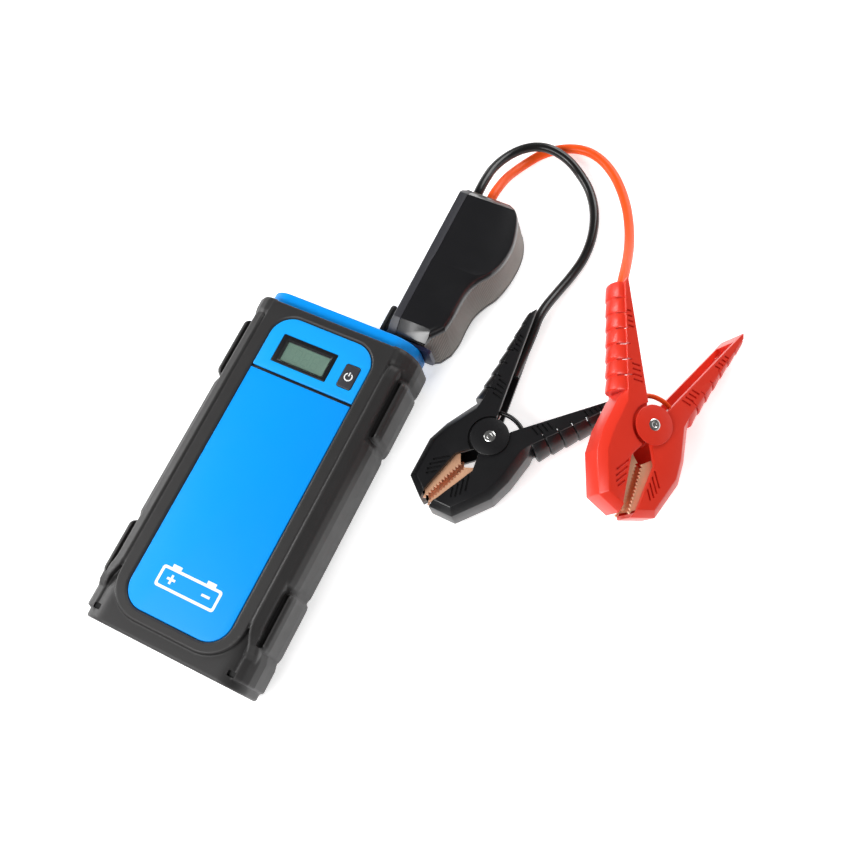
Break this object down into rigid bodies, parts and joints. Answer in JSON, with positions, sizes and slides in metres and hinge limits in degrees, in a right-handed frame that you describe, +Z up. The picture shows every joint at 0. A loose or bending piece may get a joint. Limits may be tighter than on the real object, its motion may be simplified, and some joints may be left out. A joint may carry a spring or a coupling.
{
  "type": "jump starter pack",
  "caption": "Portable vehicle jump starter pack in a rubber bumper sleeve with display, power button and a plugged-in lead with control module and red and black battery clamps.",
  "frame": {"origin": "centre of the flat underside of the pack", "axes": "+Z up out of the front panel, +Y along the pack towards its port end, +X towards the pack's right side"},
  "size_m": [0.2348, 0.3449, 0.0531],
  "materials": {
    "blue_abs": "fine satin texture",
    "light_blue_abs": "fine satin texture",
    "grey_tpe": "soft matte moulding",
    "black_abs": "semi-gloss moulding",
    "navy_nylon": "moulded",
    "lcd_glass": "clear over a grey-green display",
    "circuit_board": "solder mask",
    "cell_foil": "laminated foil",
    "steel": "nickel plated",
    "gold_plated_brass": "polished",
    "copper": "copper-plated sheet",
    "red_abs": "moulded, light bloom on edges",
    "black_silicone": "smooth",
    "red_silicone": "smooth",
    "clear_lens": "polished"
  },
  "bodies": {
    "pack": {"front_case": "blue_abs", "back_case": "blue_abs", "rubber_sleeve": "grey_tpe", "base_panel": "black_abs", "front_panel": "blue_abs", "display_panel": "light_blue_abs", "divider_strip": "black_abs", "display_bezel": "black_abs", "display_glass": "lcd_glass", "display_module": "black_abs", "button_switch": "steel", "button_board": "circuit_board", "battery_cell_1": "cell_foil", "battery_cell_2": "cell_foil", "battery_cell_3": "cell_foil", "main_board": "circuit_board", "output_socket": "navy_nylon", "socket_contact_positive": "gold_plated_brass", "socket_contact_negative": "gold_plated_brass", "usb_a_socket_1": "steel", "usb_a_socket_2": "steel", "usb_c_socket": "steel", "torch_lens": "clear_lens", "torch_led": "clear_lens", "port_cover_anchor": "grey_tpe", "case_screw_1": "steel", "case_screw_2": "steel", "case_screw_3": "steel", "case_screw_4": "steel"},
    "button": {"power_button": "black_abs"},
    "cover": {"port_cover": "grey_tpe"},
    "lead": {"module_front_shell": "black_abs", "module_side_strip": "black_abs", "module_back_shell": "black_abs", "module_board": "circuit_board", "module_relay": "black_abs", "plug_housing": "navy_nylon", "plug_contact_positive": "gold_plated_brass", "plug_contact_negative": "gold_plated_brass", "black_cable": "black_silicone", "red_cable": "red_silicone", "black_cable_grommet": "grey_tpe", "red_cable_grommet": "grey_tpe", "black_cable_half": "black_abs", "black_cable_jaw": "copper", "black_rivet": "steel", "black_spring": "steel", "black_jumper_wire": "black_silicone", "red_cable_half": "red_abs", "red_cable_jaw": "copper", "red_rivet": "steel", "red_spring": "steel", "red_jumper_wire": "red_silicone"},
    "black_arm": {"black_moving_half": "black_abs", "black_moving_jaw": "copper"},
    "red_arm": {"red_moving_half": "red_abs", "red_moving_jaw": "copper"}
  },
  "joints": [
    {"name": "button_press", "type": "slide", "parent": "pack", "child": "button", "axis": [0, 0, -1], "range_m": [0, 0.0008], "stiffness_N_per_m": 800, "springref_m": -0.0005},
    {"name": "cover_hinge", "type": "hinge", "parent": "pack", "child": "cover", "pos_m": [0.0176, 0.0959, 0.021], "axis": [0, 0, 1], "range_deg": [0, 75], "stiffness_Nm_per_rad": 0.02, "springref_deg": -5.73},
    {"name": "plug_slide", "type": "slide", "parent": "pack", "child": "lead", "axis": [0, 1, 0], "range_m": [0, 0.025]},
    {"name": "black_clamp_open", "type": "hinge", "parent": "lead", "child": "black_arm", "pos_m": [0.094, 0.069, 0.0117], "axis": [0, 0, 1], "range_deg": [0, 25], "stiffness_Nm_per_rad": 0.8, "springref_deg": -17.19},
    {"name": "red_clamp_open", "type": "hinge", "parent": "lead", "child": "red_arm", "pos_m": [0.1614, 0.1003, 0.0267], "axis": [0.5094, 0.0761, 0.8572], "range_deg": [0, 25], "stiffness_Nm_per_rad": 0.8, "springref_deg": -17.19}
  ]
}
